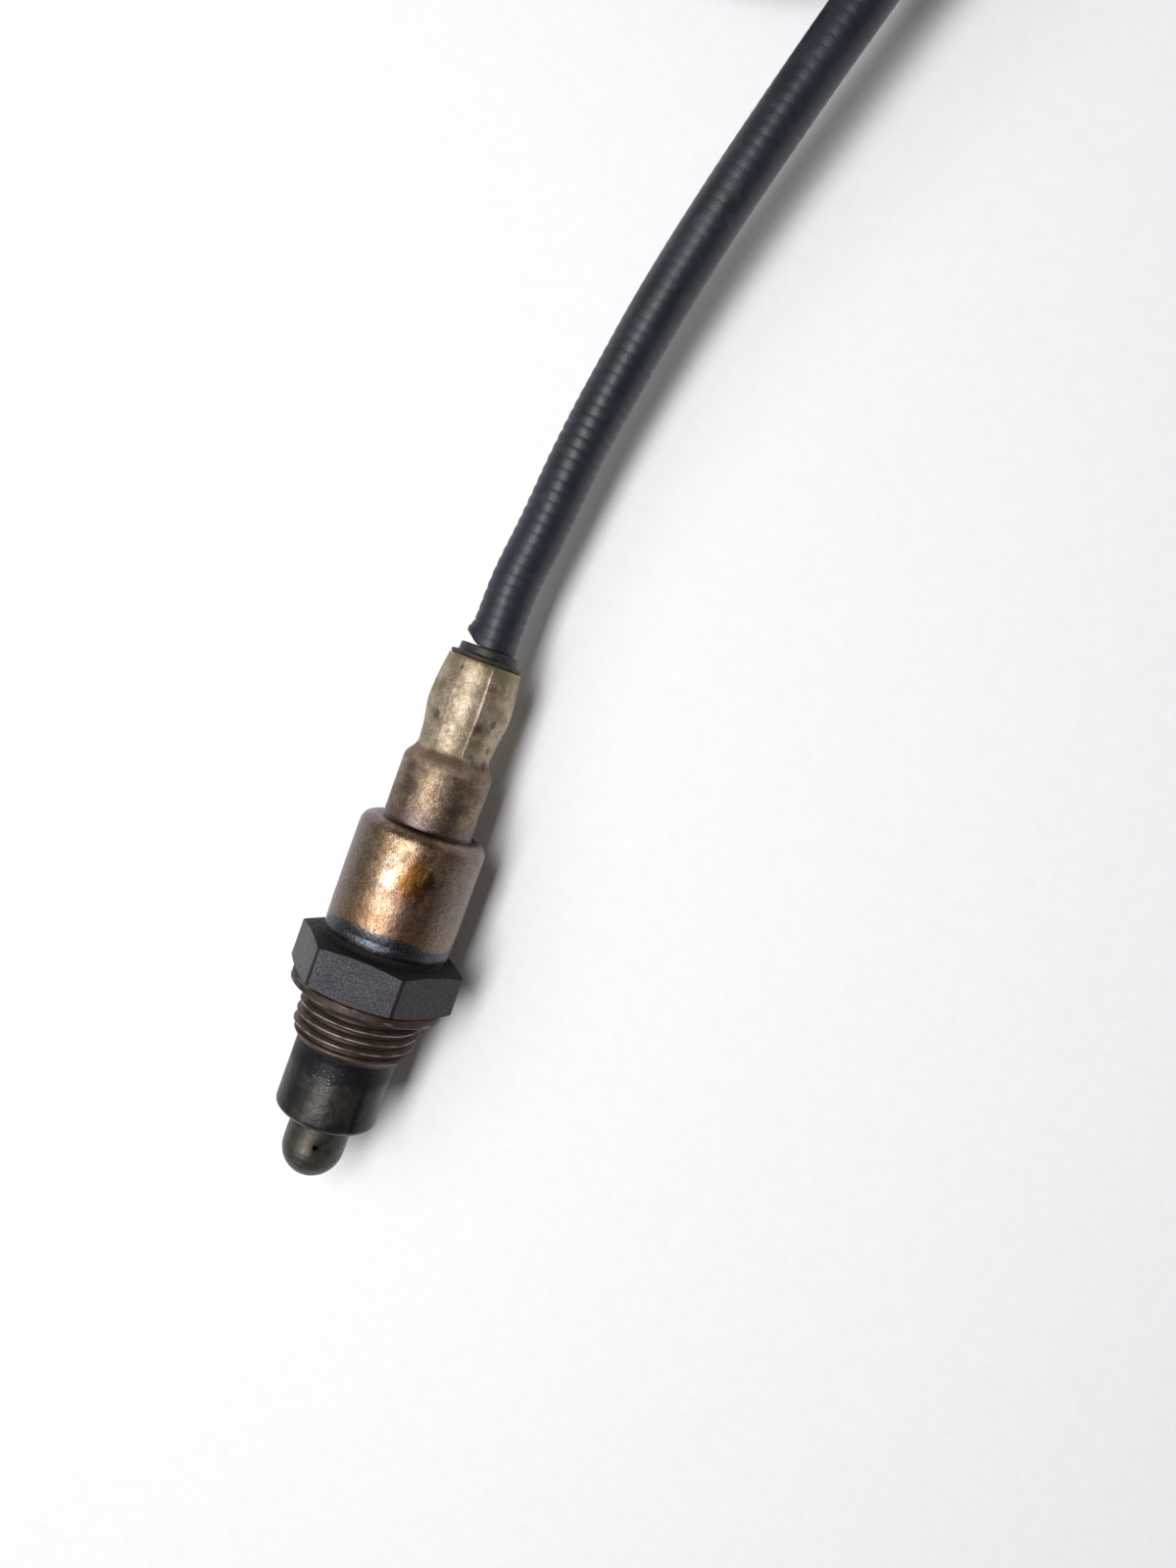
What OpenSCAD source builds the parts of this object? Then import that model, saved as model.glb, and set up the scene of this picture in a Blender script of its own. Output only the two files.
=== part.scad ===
// Heated exhaust oxygen sensor with its sleeved lead and sealed connector.
// Lengths are in millimetres. The sensor lies along Y: its sensing tip points to -Y and its
// lead leaves towards +Y. The origin is on the sensor's axis, at the hexagon's sealing face.
// In the sensor's own modules Z runs along the axis, and along_y() lays them down.

/* [Housing] */
// Hexagon across its flats
hex_af = 22; // [20:0.5:24]
// Hexagon length along the axis
hex_len = 6.5; // [5:0.5:9]
// Mounting thread, largest diameter
thread_d = 18; // [17:0.5:19]
// Mounting thread pitch
thread_pitch = 1.5; // [1.25:0.25:1.5]
// Sealing gasket outside diameter
gasket_d = 22.8; // [21.5:0.1:24]
// Sealing gasket thickness once crushed
gasket_t = 1.3; // [1:0.1:1.6]

/* [Protection tubes] */
// Outer protection tube diameter
outer_tube_d = 15.1; // [14.8:0.1:15.4]
// Distance from the sealing face to the front of the outer tube
outer_tube_reach = 20.5; // [19:0.1:26]
// Nose diameter
nose_d = 9.1; // [8:0.1:10]
// Distance from the sealing face to the tip of the nose
nose_reach = 29.5; // [28:0.1:36]

/* [Shell] */
// Shell barrel diameter
can_d = 18.8; // [18:0.1:19.4]
// Middle step diameter
mid_d = 13.2; // [12.8:0.1:13.6]
// Neck diameter
neck_d = 10.7; // [10.4:0.1:11]
// Crimp bulge diameter
bulge_d = 12.15; // [11.8:0.05:12.6]
// Shell wall thickness
wall = 0.6; // [0.4:0.1:0.7]

/* [Lead] */
// Sleeve diameter
sleeve_d = 7.2; // [6.6:0.1:7.4]
// Wire diameter over its insulation
wire_d = 1.9; // [1.6:0.1:2]
// Coil diameter at the middle of its turns
coil_d = 74; // [70:2:86]

/* [Connector] */
// Connector width
conn_w = 18; // [17:0.5:22]
// Connector height without its latch
conn_h = 15; // [14:0.5:18]
// Depth of the socket around the pins
socket_depth = 16; // [14:1:20]

/* [Hidden] */
$fn = 96;
eps = 0.01;

// The four conductors: which quadrant each runs in, and its colour
QUADRANTS = [[1, 1], [-1, 1], [-1, -1], [1, -1]];
WIRE_COLOURS = ["white", "white", "gray", "black"];

// Thread form, from the crest nearest the hexagon
thread_r = thread_d / 2;
root_r = thread_r - 0.6134 * thread_pitch;
crest_flat = thread_pitch / 8;
root_flat = thread_pitch / 4;
first_crest = -2.6;
full_crests = 4;
relief_r = root_r + 0.2;
last_ridge = first_crest - full_crests * thread_pitch;
last_ridge_r = 8.25;
thread_end = -9.1;
thread_end_r = 7.7;

// Housing bore and what is packed into it
spigot_r = outer_tube_d / 2 - wall;
spigot_end = -11.5;
flange_r = 5.8;
flange_seat = -9.6;
throat_r = 2.7;
pack_r = 5.3;
pack_front = -8;
talc_front = -3;
talc_rear = 3;
pack_rear = 9;
press_ring_t = 1;
lip_r = 4.3;
collar_r = can_d / 2 - wall;
collar_end = 9.6;
housing_end = 11.2;
lip_outer_r = 6.8;

// Sensing element
element_w = 4;
element_t = 1.4;
element_front = -25.5;
element_rear = 31;
slot_play = 0.05;

// Shell stations along the axis
can_front = 7.5;
can_corner_r = 1.9;
shoulder = 25.2;
mid_rear = 34;
mid_corner_r = 2;
neck_fillet_r = 2.27;
bulge_at = 43.6;
shell_rear = 50.2;
shell_rear_r = 5.36;

// Grommet
grommet_front = 38.6;
grommet_lip_r = 5.25;
grommet_lip_end = 50.9;
grommet_disc_r = 4.25;
grommet_end = 52.2;
wire_pitch = 1.45;

// Contacts
holder_front = 21.5;
holder_rear = 33.5;
holder_r = 5.5;
clip_front = 25.6;
clip_rear = 31.6;
clip_r = 5.9;
spring_t = 0.3;
spring_w = 1.1;
spring_x = 1.2;
crimp_front = 34.8;
crimp_rear = 38.2;
crimp_r = 1.25;
crimp_floor = 0.8;

// Lead route: from the grommet over the coil, then from the coil to the connector.
// X is across, Y along the sensor's axis and Z up from it.
lead_route = [[0, 52.2, 0], [0, 62, 0], [0.8, 70, 0.2], [2.2, 82, 0.6], [4.4, 94, 1.3],
    [6.9, 106, 2.2], [10.1, 119, 3.3], [13.8, 132, 4.4], [17.7, 145, 5.5], [22, 159, 6.4],
    [26.1, 172, 7], [30.2, 184.6, 7.2]];
tail_route = [[30.2, 184.6, -7.2], [33, 193, -7.2], [35.4, 201, -7], [37, 209, -6],
    [37.5, 217, -4.6], [37.5, 226, -3.9]];
coil_at = [-5, 196];
coil_start = -18;
ramp_start = 12;
ramp_end = 72;
arc_step = 15;
top_layer = 7.2;
coil_low = -7.2;
coil_high = 0;
tie_t = 0.6;
tie_angles = [126, 246];
tie_span = 8;
tube_sides = 10;

// Connector stations along Y and its place
conn_x = 37.5;
floor_z = -11.4;
conn_z = floor_z + conn_h / 2;
cover_front = 221;
sleeve_end = 226;
wire_front = sleeve_end + 0.4;
conn_rear = 232;
seal_len = 4.5;
barrel_front = 237;
barrel_rear = 245;
socket_floor = 247;
conn_front = socket_floor + socket_depth;
pin_end = socket_floor + 8.5;
pin_pitch = 1.8;
pin_w = 1.5;
pin_t = 0.8;
seal_r = 1.7;
barrel_r = 1.3;
conn_wall = 2;
conn_round = 2.5;
lock_y = 240;
lock_t = 1.6;
lock_gap = 0.15;
lock_travel = 1.5;
lock_head_w = 11;
lock_head_h = 2.4;
lock_depth = 3;
latch_w = 7;
latch_pivot = [249, 2.6];
latch_tail = 6.2;
latch_hook = 2;
latch_pin_r = 1;
ear_t = 1.6;
latch_t = 1.6;
// Left and right sides of the lock's three tongues, which pass between the terminals
LOCK_TONGUES = [[-4.6, -3.4], [-0.25, 0.25], [3.4, 4.6]];

// ---- helpers ----
module along_y() {
    rotate([-90, 0, 0]) children();
}

function arc(centre, r, from, to, step = 10) =
    let (n = max(1, ceil(abs(to - from) / step)))
    [for (i = [0:n]) centre + r * [cos(from + (to - from) * i / n), sin(from + (to - from) * i / n)]];

function reversed(list) = [for (i = [len(list) - 1:-1:0]) list[i]];

function smooth(t) = t <= 0 ? 0 : t >= 1 ? 1 : t * t * (3 - 2 * t);

module ring(outer_r, inner_r, from, to) {
    difference() {
        translate([0, 0, from]) cylinder(r = outer_r, h = to - from);
        translate([0, 0, from - 1]) cylinder(r = inner_r, h = to - from + 2);
    }
}

// A slot for the sensing element through a packed disc
module element_slot(from, to) {
    translate([-element_w / 2 - slot_play, -element_t / 2 - slot_play, from - 1])
        cube([element_w + 2 * slot_play, element_t + 2 * slot_play, to - from + 2]);
}

// A tube of round section swept along a list of points
function unit(v) = v / norm(v);
function heading(p, i) = unit(p[min(i + 1, len(p) - 1)] - p[max(i - 1, 0)]);
function side_of(d) = unit(cross(d, [0, 0, 1]));
module swept_tube(path, r, sides) {
    n = len(path);
    rings = [for (i = [0:n - 1])
        let (d = heading(path, i), u = side_of(d), v = cross(u, d))
        for (k = [0:sides - 1])
            path[i] + r * (cos(360 * k / sides) * u + sin(360 * k / sides) * v)];
    walls = [for (i = [0:n - 2]) for (k = [0:sides - 1])
        let (a = i * sides + k, b = i * sides + (k + 1) % sides)
        for (f = [[a, a + sides, b + sides], [a, b + sides, b]]) f];
    ends = [[for (k = [0:sides - 1]) k], [for (k = [sides - 1:-1:0]) (n - 1) * sides + k]];
    polyhedron(points = rings, faces = concat(walls, ends));
}

// ---- housing, gasket and thread ----
// One ridge of the thread, from its root on the hexagon's side to its root on the tip's side
function ridge(at, r) = [[root_r, at + (thread_pitch - root_flat) / 2], [r, at + crest_flat / 2],
    [r, at - crest_flat / 2], [root_r, at - (thread_pitch - root_flat) / 2]];

module housing_outline() {
    crests = [for (k = [0:full_crests - 1]) each ridge(first_crest - k * thread_pitch, thread_r)];
    polygon(concat(
        [[lip_r, housing_end], [lip_outer_r, housing_end], [lip_outer_r, collar_end],
            [collar_r, collar_end], [collar_r, hex_len - eps], [lip_outer_r, hex_len - eps],
            [lip_outer_r, eps], [relief_r, eps], [relief_r, first_crest + thread_pitch / 2]],
        crests,
        [[last_ridge_r, last_ridge + crest_flat / 2], [thread_end_r, thread_end],
            [spigot_r, thread_end], [spigot_r, spigot_end], [flange_r, spigot_end],
            [flange_r, flange_seat], [throat_r, flange_seat], [throat_r, pack_front],
            [pack_r, pack_front],
            [pack_r, pack_rear + press_ring_t], [lip_r, pack_rear + press_ring_t]]));
}

// The hexagon, with its corners chamfered at both ends and turned down a little
module hex_prism() {
    chamfer = 0.6;
    flat_margin = 0.2;
    corner_cut = 0.12;
    corner_r = hex_af / 2 / cos(30);
    low_r = hex_af / 2 + flat_margin;
    high_r = corner_r - corner_cut;
    intersection() {
        cylinder(r = corner_r, h = hex_len, $fn = 6);
        rotate_extrude()
            polygon([[0, 0], [low_r, 0], [high_r, chamfer], [high_r, hex_len - chamfer],
                [low_r, hex_len], [0, hex_len]]);
    }
}

module hex_housing() {
    color("#5d5356") along_y() {
        rotate_extrude() housing_outline();
        difference() {
            hex_prism();
            translate([0, 0, -1]) cylinder(r = lip_outer_r - 0.5, h = hex_len + 2);
        }
    }
}

// The lower face is bevelled around the bore, so that the flat lies outside the thread
module sealing_gasket() {
    play = 0.05;
    fold = gasket_t * 0.35;
    bevel = 0.6;
    flat_r = thread_r + 0.15;
    in_r = relief_r + play;
    out_r = gasket_d / 2;
    color("#6b5a50") along_y() rotate_extrude() {
        polygon([[in_r, -play], [out_r - fold, -play], [out_r, -play - fold],
            [out_r, -play - gasket_t + fold], [out_r - fold, -play - gasket_t],
            [flat_r, -play - gasket_t], [in_r, -play - gasket_t + bevel]]);
    }
}

// ---- protection tubes ----
// Radial holes at one station, from the angle first on, a step apart. An angle of 90 is the underside.
module tube_holes(count, r, at, first, step) {
    for (k = [0:count - 1])
        rotate([0, 0, first + step * k])
            translate([0, 0, at]) rotate([0, 90, 0]) cylinder(r = r, h = outer_tube_d, $fn = 32);
}

// The tube's front corner is a quarter ellipse that ends on the nose
module outer_protection_tube() {
    r = outer_tube_d / 2;
    wide = r - nose_d / 2;
    deep = wide / 2;
    function corner(t, from, to) = [for (p = arc([0, 0], 1, from, to))
        [r - wide + (wide - t) * p[0], deep - outer_tube_reach + (deep - t) * p[1]]];
    color("#4a4a46") along_y() difference() {
        rotate_extrude() polygon(concat(
            [[r, thread_end]], corner(0, 0, -90), corner(wall, -88.5, 0), [[r - wall, thread_end]]));
        tube_holes(3, 0.9, -12.8, 30, 60);
    }
}

module inner_protection_tube() {
    r = nose_d / 2;
    thick = 0.5;
    centre = [0, -nose_reach + r];
    color("#57564c") along_y() difference() {
        rotate_extrude() polygon(concat(
            [[flange_r, flange_seat], [flange_r, spigot_end - 0.5], [r, spigot_end - 1.4]],
            arc(centre, r, 0, -90),
            arc(centre, r - thick, -90, 0),
            [[r - thick, spigot_end - 1.2], [flange_r - thick, spigot_end - 0.3],
                [flange_r - thick, flange_seat]]));
        tube_holes(4, 0.4, -23.5, -74, 90);
        tube_holes(6, 0.75, -16, 0, 60);
        translate([0, 0, -nose_reach - 1]) cylinder(r = 0.6, h = 4, $fn = 32);
    }
}

// ---- element and what holds it ----
module sensing_element() {
    color("ivory") along_y()
        translate([-element_w / 2, -element_t / 2, element_front])
            cube([element_w, element_t, element_rear - element_front]);
}

module packed_disc(from, to) {
    difference() {
        translate([0, 0, from]) cylinder(r = pack_r, h = to - from);
        element_slot(from, to);
    }
}

module front_insulator() {
    color("white") along_y() packed_disc(pack_front, talc_front);
}

module talc_packing() {
    color("lightgray") along_y() packed_disc(talc_front, talc_rear);
}

module rear_insulator() {
    color("white") along_y() packed_disc(talc_rear, pack_rear);
}

module press_ring() {
    color("silver") along_y() ring(pack_r, 3, pack_rear, pack_rear + press_ring_t);
}

// ---- shell ----
// The shell's outline from the barrel to the crimped end, moved inward by t
function shell_outline(t) =
    let (can_r = can_d / 2, mid_r = mid_d / 2, neck_r = neck_d / 2, bulge_r = bulge_d / 2,
        fillet_at = [mid_r - mid_corner_r, mid_rear]
            + (mid_corner_r + neck_fillet_r) * [cos(45), sin(45)])
    concat([[can_r - t, can_front]],
        arc([can_r - can_corner_r, shoulder - can_corner_r], can_corner_r - t, 0, 90),
        [[mid_r - t, shoulder - t]],
        arc([mid_r - mid_corner_r, mid_rear], mid_corner_r - t, 0, 45, 9),
        reversed(arc(fillet_at, neck_fillet_r + t, 174, 225, 9)),
        arc([bulge_r - 9, bulge_at], 9 - t, -7, 7, 3.5),
        [[shell_rear_r - t, shell_rear]]);

module main_shell() {
    color("#8f7f6c") along_y() rotate_extrude()
        polygon(concat(shell_outline(0), reversed(shell_outline(wall))));
}

module grommet() {
    inside = [for (p = shell_outline(wall)) if (p[1] > grommet_front) p];
    color("#33302e") along_y() difference() {
        rotate_extrude() polygon(concat(
            [[0, grommet_front], [neck_d / 2 - wall, grommet_front]], inside,
            [[grommet_lip_r, shell_rear], [grommet_lip_r, grommet_lip_end],
                [grommet_disc_r, grommet_lip_end], [grommet_disc_r, grommet_end],
                [0, grommet_end]]));
        for (q = QUADRANTS)
            translate([q[0] * wire_pitch, q[1] * wire_pitch, grommet_front - 1])
                cylinder(d = wire_d, h = grommet_end - grommet_front + 2, $fn = 32);
    }
}

// ---- contacts and wires inside the shell ----
// Half of the contact holder: the element's channel and a deeper groove for each spring
module holder_half() {
    groove_w = spring_w + 0.2;
    groove_h = 2.2;
    length = holder_rear - holder_front;
    difference() {
        intersection() {
            translate([0, 0, holder_front]) cylinder(r = holder_r, h = length);
            translate([-holder_r, 0, holder_front]) cube([2 * holder_r, holder_r, length]);
        }
        element_slot(holder_front, holder_rear);
        for (side = [-1, 1])
            translate([side * spring_x - groove_w / 2, -1, holder_front - 1])
                cube([groove_w, groove_h + 1, length + 2]);
    }
}

module contact_holder_upper() {
    color("#e8e2d2") along_y() mirror([0, 1, 0]) holder_half();
}

module contact_holder_lower() {
    color("#ded8c8") along_y() holder_half();
}

// An open spring band around both halves of the holder
module contact_clip() {
    gap = 3;
    color("lightsteelblue") along_y() difference() {
        ring(clip_r, holder_r, clip_front, clip_rear);
        translate([holder_r - 2, -gap / 2, clip_front - 1])
            cube([4, gap, clip_rear - clip_front + 2]);
    }
}

// A bowed strip from the element's contact pad to the back of its crimp sleeve
module contact_spring(k) {
    q = QUADRANTS[k - 1];
    low = element_t / 2 + spring_t / 2;
    bow = [[22.3, 1.9], [23.6, 1.5], [24.9, 1.05], [26, low], [27.2, low], [28.6, 1.15],
        [30.2, 1.6], [31.6, 1.75], [33, 1.55], [crimp_front, wire_pitch]];
    color("gold") translate([q[0] * spring_x - spring_w / 2, 0, 0])
        mirror([0, 0, q[1] < 0 ? 1 : 0])
            rotate([90, 0, 90]) linear_extrude(spring_w)
                polygon(concat([for (p = bow) p - [0, spring_t / 2]],
                    reversed([for (p = bow) p + [0, spring_t / 2]])));
}

module at_quadrant(k, pitch) {
    q = QUADRANTS[k - 1];
    translate([q[0] * pitch, -q[1] * pitch, 0]) children();
}

module crimp_sleeve(k) {
    color("darkkhaki") along_y() at_quadrant(k, wire_pitch) difference() {
        translate([0, 0, crimp_front]) cylinder(r = crimp_r, h = crimp_rear - crimp_front, $fn = 32);
        translate([0, 0, crimp_front + crimp_floor])
            cylinder(d = wire_d, h = crimp_rear - crimp_front, $fn = 32);
    }
}

module lead_wire(k) {
    from = crimp_front + crimp_floor;
    color(WIRE_COLOURS[k - 1]) along_y() at_quadrant(k, wire_pitch)
        translate([0, 0, from]) cylinder(d = wire_d, h = grommet_end - from, $fn = 32);
}

// ---- lead ----
function coil_point(angle, z) =
    [coil_at[0] + coil_d / 2 * cos(angle), coil_at[1] + coil_d / 2 * sin(angle), z];

module lead_sleeve() {
    down = [for (a = [coil_start + arc_step:arc_step:ramp_end])
        coil_point(a, top_layer * (1 - smooth((a - ramp_start) / (ramp_end - ramp_start))))];
    color("#2b2e33") swept_tube(concat(lead_route, down), sleeve_d / 2, tube_sides);
}

module lead_tail() {
    color("#2b2e33") swept_tube(tail_route, sleeve_d / 2, tube_sides);
}

// Outline of the coil's two layers, with t added all round
module coil_section(t) {
    r = sleeve_d / 2 + t;
    for (z = [coil_low, coil_high])
        translate([coil_d / 2, z]) circle(r = r, $fn = 48);
    translate([coil_d / 2 - r, coil_low]) square([2 * r, coil_high - coil_low]);
}

module lead_coil() {
    color("#2b2e33") translate([coil_at[0], coil_at[1], 0])
        rotate_extrude() coil_section(0);
}

module coil_ties() {
    color("#1c1c1e") translate([coil_at[0], coil_at[1], 0])
        for (a = tie_angles) rotate([0, 0, a]) rotate_extrude(angle = tie_span) difference() {
            coil_section(tie_t);
            coil_section(0);
        }
}

// ---- connector ----
// Places the connector's own frame: Z runs along its axis, and Y points down
module at_connector() {
    translate([conn_x, 0, conn_z]) along_y() children();
}

module rounded_block(w, h, r, from, to) {
    translate([0, 0, from]) linear_extrude(to - from) {
        square([w - 2 * r, h], center = true);
        square([w, h - 2 * r], center = true);
        for (x = [-1, 1]) for (y = [-1, 1])
            translate([x * (w / 2 - r), y * (h / 2 - r)]) circle(r = r, $fn = 32);
    }
}

module connector_rear_cover() {
    bore_r = sleeve_d / 2;
    rear_r = 6.4;
    step_in = 1.5;
    rim = 3;
    color("#26282b") at_connector() difference() {
        union() {
            translate([0, 0, cover_front])
                cylinder(r1 = bore_r + 1, r2 = rear_r, h = conn_rear - cover_front);
            rounded_block(conn_w - step_in, conn_h - step_in, conn_round, conn_rear - rim, conn_rear);
        }
        translate([0, 0, cover_front - 1]) cylinder(r = bore_r, h = conn_rear - cover_front + 2);
    }
}

module lock_slot(gap) {
    top = conn_h / 2;
    translate([-lock_head_w / 2 - gap, -top - 1, lock_y - gap])
        cube([lock_head_w + 2 * gap, lock_head_h + 1 + gap, lock_t + 2 * gap]);
    for (x = LOCK_TONGUES)
        translate([x[0] - gap, -top, lock_y - gap])
            cube([x[1] - x[0] + 2 * gap, top + lock_depth + gap, lock_t + 2 * gap]);
}

module connector_ears() {
    for (side = [-1, 1])
        translate([side * (latch_w / 2 + 0.3 + ear_t / 2), -conn_h / 2 - latch_pivot[1], latch_pivot[0]])
            rotate([0, 90, 0]) difference() {
                union() {
                    cylinder(r = 2, h = ear_t, center = true, $fn = 48);
                    translate([-2, 0, -ear_t / 2]) cube([4, latch_pivot[1] + 0.5, ear_t]);
                }
                cylinder(r = latch_pin_r + 0.05, h = ear_t + 2, center = true, $fn = 48);
            }
}

module connector_housing() {
    color("#303236") at_connector() {
        difference() {
            rounded_block(conn_w, conn_h, conn_round, conn_rear, conn_front);
            rounded_block(conn_w - 2 * conn_wall, conn_h - 2 * conn_wall, 1.2, socket_floor,
                conn_front + 1);
            for (q = QUADRANTS) translate([q[0] * pin_pitch, q[1] * pin_pitch, 0]) {
                translate([0, 0, conn_rear - 1]) cylinder(r = seal_r, h = 1 + seal_len, $fn = 32);
                translate([0, 0, conn_rear]) cylinder(r = barrel_r, h = barrel_rear - conn_rear, $fn = 32);
                translate([-pin_w / 2, -pin_t / 2, barrel_rear - 1]) cube([pin_w, pin_t, 4]);
            }
            lock_slot(lock_gap);
        }
        connector_ears();
    }
}

module interface_seal() {
    t = 1.2;
    in_w = conn_w - 2 * conn_wall;
    in_h = conn_h - 2 * conn_wall;
    color("darkorange") at_connector() difference() {
        rounded_block(in_w, in_h, 1.2, socket_floor, socket_floor + t);
        rounded_block(in_w - 3, in_h - 3, 0.8, socket_floor - 1, socket_floor + t + 1);
    }
}

module wire_seal(k) {
    color("orangered") at_connector() at_quadrant(k, pin_pitch)
        ring(seal_r, wire_d / 2, conn_rear, conn_rear + seal_len);
}

module terminal(k) {
    barrel_depth = 3;
    color("silver") at_connector() at_quadrant(k, pin_pitch) {
        difference() {
            translate([0, 0, barrel_front]) cylinder(r = barrel_r, h = barrel_rear - barrel_front, $fn = 32);
            translate([0, 0, barrel_front - 1]) cylinder(d = wire_d, h = barrel_depth + 1, $fn = 32);
        }
        translate([-pin_w / 2, -pin_t / 2, barrel_rear - 1])
            cube([pin_w, pin_t, pin_end - barrel_rear + 1]);
    }
}

module connector_wire(k) {
    color(WIRE_COLOURS[k - 1]) at_connector() at_quadrant(k, pin_pitch)
        translate([0, 0, wire_front]) cylinder(d = wire_d, h = barrel_front + 3 - wire_front, $fn = 32);
}

module terminal_lock() {
    top = conn_h / 2;
    color("firebrick") at_connector() {
        translate([-lock_head_w / 2, -top, lock_y]) cube([lock_head_w, lock_head_h, lock_t]);
        for (x = LOCK_TONGUES)
            translate([x[0], -top, lock_y])
                cube([x[1] - x[0], top + lock_depth - lock_travel, lock_t]);
    }
}

module connector_latch() {
    y = -conn_h / 2 - latch_pivot[1];
    pin_len = latch_w + 0.6 + 2 * ear_t;
    color("#3a3c40") at_connector() {
        translate([-latch_w / 2, y - latch_t / 2, latch_pivot[0] - latch_tail])
            cube([latch_w, latch_t, conn_front - 1 - latch_pivot[0] + latch_tail]);
        translate([-latch_w / 2, y, conn_front - 1 - latch_hook])
            cube([latch_w, latch_hook, latch_hook]);
        translate([0, y, latch_pivot[0]]) rotate([0, 90, 0])
            cylinder(r = latch_pin_r, h = pin_len, center = true, $fn = 48);
    }
}

hex_housing();
sealing_gasket();
outer_protection_tube();
inner_protection_tube();
sensing_element();
front_insulator();
talc_packing();
rear_insulator();
press_ring();
main_shell();
contact_holder_upper();
contact_holder_lower();
contact_clip();
grommet();
lead_sleeve();
lead_coil();
coil_ties();
lead_tail();
connector_rear_cover();
connector_housing();
interface_seal();
terminal_lock();
connector_latch();
for (k = [1:4]) {
    contact_spring(k);
    crimp_sleeve(k);
    lead_wire(k);
    wire_seal(k);
    terminal(k);
    connector_wire(k);
}
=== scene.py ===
"""Looks of the heated oxygen sensor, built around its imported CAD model.

Constants are in millimetres and become metres (times MM) as they reach Blender. The sensor lies along Y,
with its tip towards -Y and its lead towards +Y. A place on it is given by its station s along Y, its
distance r from the axis and its angle phi, from +Z towards +X.
"""

import math

import bmesh
import bpy
from mathutils import Matrix, Vector, noise


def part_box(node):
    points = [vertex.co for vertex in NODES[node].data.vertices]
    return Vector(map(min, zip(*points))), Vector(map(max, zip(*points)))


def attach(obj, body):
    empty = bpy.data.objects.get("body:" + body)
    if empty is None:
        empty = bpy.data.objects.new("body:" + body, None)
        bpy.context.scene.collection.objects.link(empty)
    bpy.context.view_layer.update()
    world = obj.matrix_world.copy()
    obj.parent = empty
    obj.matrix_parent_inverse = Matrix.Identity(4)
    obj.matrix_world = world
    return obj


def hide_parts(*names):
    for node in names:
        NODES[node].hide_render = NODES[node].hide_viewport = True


MM = 0.001
TURN = 2 * math.pi
MERGE = 2e-6  # points closer than this, in metres, become one

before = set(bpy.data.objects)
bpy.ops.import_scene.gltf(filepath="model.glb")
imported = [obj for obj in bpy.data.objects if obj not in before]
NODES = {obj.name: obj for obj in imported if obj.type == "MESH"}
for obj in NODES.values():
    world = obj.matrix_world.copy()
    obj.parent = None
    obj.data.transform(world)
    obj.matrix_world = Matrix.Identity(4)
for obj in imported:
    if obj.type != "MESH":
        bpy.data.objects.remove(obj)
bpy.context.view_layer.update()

# ---- measures that the looks share with the CAD model ----
FLOOR_Z = -11.4
HEX_AF = 22.0
HEX_LEN = 6.5
STRIP_W = 0.55  # width of the hexagon's cut corners
STRIP_R = HEX_AF / 2 / math.cos(math.radians(30)) - STRIP_W / 2 / math.tan(math.radians(60))
STRIP_HALF = math.degrees(math.atan(STRIP_W / 2 / STRIP_R))
THREAD_R = 9.0
THREAD_PITCH = 1.5
ROOT_R = 8.08
RELIEF_R = 8.28
THREAD_START = -1.85
THREAD_END = -9.1
THREAD_END_R = 7.7
TUBE_R = 7.55
TUBE_FRONT = -20.5
NOSE_R = 4.55
CAN_R = 9.4
CAN_FRONT = 7.5
SHOULDER = 25.2
MID_R = 6.6
MID_REAR = 34.0
NECK_R = 5.35
BULGE_AT = 43.6
BULGE_R = 6.075
SHELL_REAR = 50.2
SHELL_REAR_R = 5.36
WALL = 0.6
SLEEVE_R = 3.6
GROMMET_END = 52.2
WIRE_PITCH = 1.45
WIRE_R = 0.95
COIL_AT = (-5.0, 196.0)
COIL_R = 37.0
COIL_START = -3  # degrees, and so are the next three
COIL_END = 687
COIL_STEP = 15
DROP_AT, DROP = 12, 60  # where each turn steps down a layer, and over how far
LAYER = 7.2
RIB_PITCH = 1.6
RIB_DEPTH = 0.1
RIB_PARTS = (0.0, 0.1, 0.3, 0.5, 0.7, 0.9)  # where a rib has its rings, close together in the groove
SLEEVE_SIDES = 32

# Stains of the barrel, the lowest first, and last a painted shade that trims the highlight: station, angle,
# half length, half width, strength, colour
BARREL_STAINS_AND_SHADE = [(18.7, 18, 3.0, 1.9, 0.8, (0.24, 0.092, 0.014)),
                 (17.0, 20.5, 1.6, 1.5, 0.8, (0.12, 0.042, 0.01)),
                 (19.2, 29, 1.4, 0.75, 0.8, (0.05, 0.02, 0.012)),
                 (15.0, 36, 3.6, 0.7, 0.4, (0.12, 0.06, 0.04)),
                 # painted shade, not a stain: darkens the barrel beside the lamp's highlight
                 (13.4, 18, 3.4, 1.9, 0.65, (0.17, 0.11, 0.085))]

# Dark spots of the shell: station, radius, angle, size
SHELL_SPOTS = [(41.1, 6.0, 31, 0.75), (39.5, 5.8, -8, 0.4), (38.6, 5.7, 66, 0.6), (36.6, 5.5, 70, 0.7),
               (42.5, 6.0, 52, 0.5), (48.6, 5.5, -19, 0.35), (41.2, 6.0, -32, 0.7), (24.9, 8.4, -28, 0.3)]

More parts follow.
